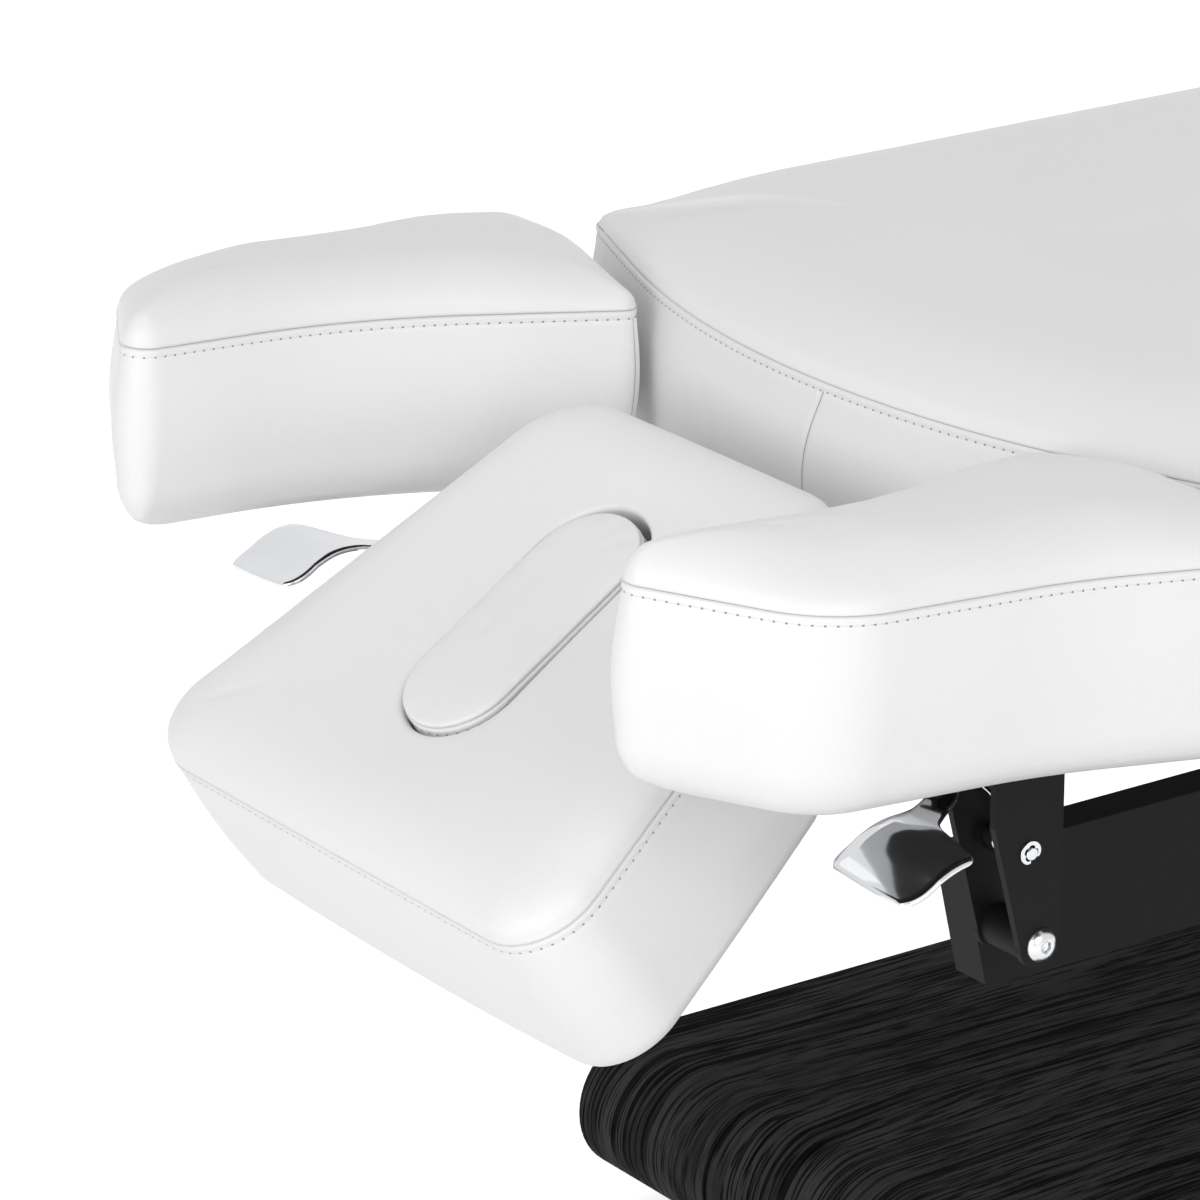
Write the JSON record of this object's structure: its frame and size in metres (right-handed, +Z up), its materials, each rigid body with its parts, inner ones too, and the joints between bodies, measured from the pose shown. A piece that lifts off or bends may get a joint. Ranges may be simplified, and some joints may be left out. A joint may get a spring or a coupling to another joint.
{
  "type": "treatment lounge chair",
  "caption": "Electric spa lounge: padded back, seat and leg rest on a lifting frame, tilting face-slot headrest and armrests with release levers, on a rounded wood base.",
  "frame": {"origin": "centre of the bed's footprint on the floor", "axes": "+Z up, +Y from the head end to the feet"},
  "size_m": [0.7974, 1.9092, 0.6962],
  "materials": {
    "upholstery": "white faux leather with a fine grain",
    "plywood": "birch plywood, edges sealed black underneath",
    "black_ash": "black stained open-grain ash veneer",
    "black_steel": "satin black powder coat",
    "zinc_steel": "bright zinc plating",
    "chrome": "polished chrome",
    "black_rubber": "matt black rubber",
    "black_plastic": "fine textured black"
  },
  "bodies": {
    "base": {"base_shell": "black_ash", "base_side_panels": "black_steel", "base_tubes": "black_steel", "levelling_feet": "black_rubber", "base_clevises": "black_steel", "lift_lower_pins": "zinc_steel", "lift_motor": "black_plastic"},
    "lift_front": {"lift_front_arm": "black_steel"},
    "lift_rear": {"lift_rear_arm": "black_steel"},
    "seat": {"seat_pad": "upholstery", "seat_board": "plywood", "seat_spines": "black_steel", "seat_cross_frame": "black_steel", "seat_rails": "black_steel", "seat_lift_beams": "black_steel", "seat_clevises": "black_steel", "lift_upper_pins": "zinc_steel", "seat_hinge_straps": "black_steel", "bed_hinge_pins": "zinc_steel", "control_box": "black_plastic"},
    "back": {"back_pad": "upholstery", "back_board": "plywood", "back_spines": "black_steel", "back_cross_frame": "black_steel", "back_rail_near": "black_steel", "back_rail_far": "black_steel", "back_hinge_straps": "black_steel", "headrest_hinge_lugs": "black_steel", "headrest_hinge_pin": "zinc_steel", "armrest_bolt_near": "zinc_steel", "armrest_bolt_far": "zinc_steel"},
    "leg": {"leg_pad": "upholstery", "leg_board": "plywood", "leg_frame": "black_steel", "leg_hinge_straps": "black_steel"},
    "headrest": {"headrest_pad": "upholstery", "headrest_board": "plywood", "headrest_carrier": "black_steel"},
    "plug": {"face_plug": "upholstery"},
    "armrest_near": {"armrest_pad_near": "upholstery", "armrest_board_near": "plywood", "armrest_flange_near": "black_steel", "armrest_plates_near": "black_steel", "armrest_spacer_near": "black_steel", "lever_pin_near": "zinc_steel", "lever_clip_near": "zinc_steel"},
    "armrest_far": {"armrest_pad_far": "upholstery", "armrest_board_far": "plywood", "armrest_flange_far": "black_steel", "armrest_plates_far": "black_steel", "armrest_spacer_far": "black_steel", "lever_pin_far": "zinc_steel", "lever_clip_far": "zinc_steel"},
    "lever_near": {"lever_near": "chrome"},
    "lever_far": {"lever_far": "chrome"},
    "lift_rod": {"lift_rod": "zinc_steel"}
  },
  "joints": [
    {"name": "lift", "type": "hinge", "parent": "base", "child": "lift_front", "pos_m": [0, -0.11, 0.17], "axis": [1, 0, 0], "range_deg": [-15, 33]},
    {"name": "lift_rear_pivot", "type": "hinge", "parent": "base", "child": "lift_rear", "pos_m": [0, 0.11, 0.17], "axis": [1, 0, 0], "range_deg": [-15.5, 33.5]},
    {"name": "bed_level", "type": "hinge", "parent": "lift_front", "child": "seat", "pos_m": [0, 0.20957, 0.3], "axis": [1, 0, 0], "range_deg": [-33.5, 15.5]},
    {"name": "back_tilt", "type": "hinge", "parent": "seat", "child": "back", "pos_m": [0, 0.11, 0.65], "axis": [-1, 0, 0], "range_deg": [0, 65]},
    {"name": "leg_tilt", "type": "hinge", "parent": "seat", "child": "leg", "pos_m": [0, 0.535, 0.519], "axis": [-1, 0, 0], "range_deg": [0, 70]},
    {"name": "headrest_tilt", "type": "hinge", "parent": "back", "child": "headrest", "pos_m": [0, -0.628, 0.548], "axis": [-1, 0, 0], "range_deg": [-12, 32]},
    {"name": "face_plug_lift", "type": "slide", "parent": "headrest", "child": "plug", "axis": [0, -0.5577, 0.83], "range_m": [0, 0.12]},
    {"name": "armrest_near_swing", "type": "hinge", "parent": "back", "child": "armrest_near", "pos_m": [0, -0.6095, 0.374], "axis": [1, 0, 0], "range_deg": [0, 22]},
    {"name": "lever_near_pull", "type": "hinge", "parent": "armrest_near", "child": "lever_near", "pos_m": [0, -0.619, 0.434], "axis": [-1, 0, 0], "range_deg": [0, 10], "stiffness_Nm_per_rad": 4, "springref_deg": -8.59},
    {"name": "armrest_far_swing", "type": "hinge", "parent": "back", "child": "armrest_far", "pos_m": [0, -0.6095, 0.374], "axis": [1, 0, 0], "range_deg": [0, 22]},
    {"name": "lever_far_pull", "type": "hinge", "parent": "armrest_far", "child": "lever_far", "pos_m": [0, -0.619, 0.434], "axis": [-1, 0, 0], "range_deg": [0, 10], "stiffness_Nm_per_rad": 4, "springref_deg": -8.59},
    {"name": "lift_drive", "type": "slide", "parent": "base", "child": "lift_rod", "axis": [0, -0.9598, 0.2807], "range_m": [-0.024, 0.052]}
  ],
  "couplings": [
    {"joint": "lift_rear_pivot", "follows": "lift", "ratio": 1},
    {"joint": "bed_level", "follows": "lift", "ratio": -1},
    {"joint": "lift_drive", "follows": "lift", "m_per_rad": 0.08738}
  ]
}
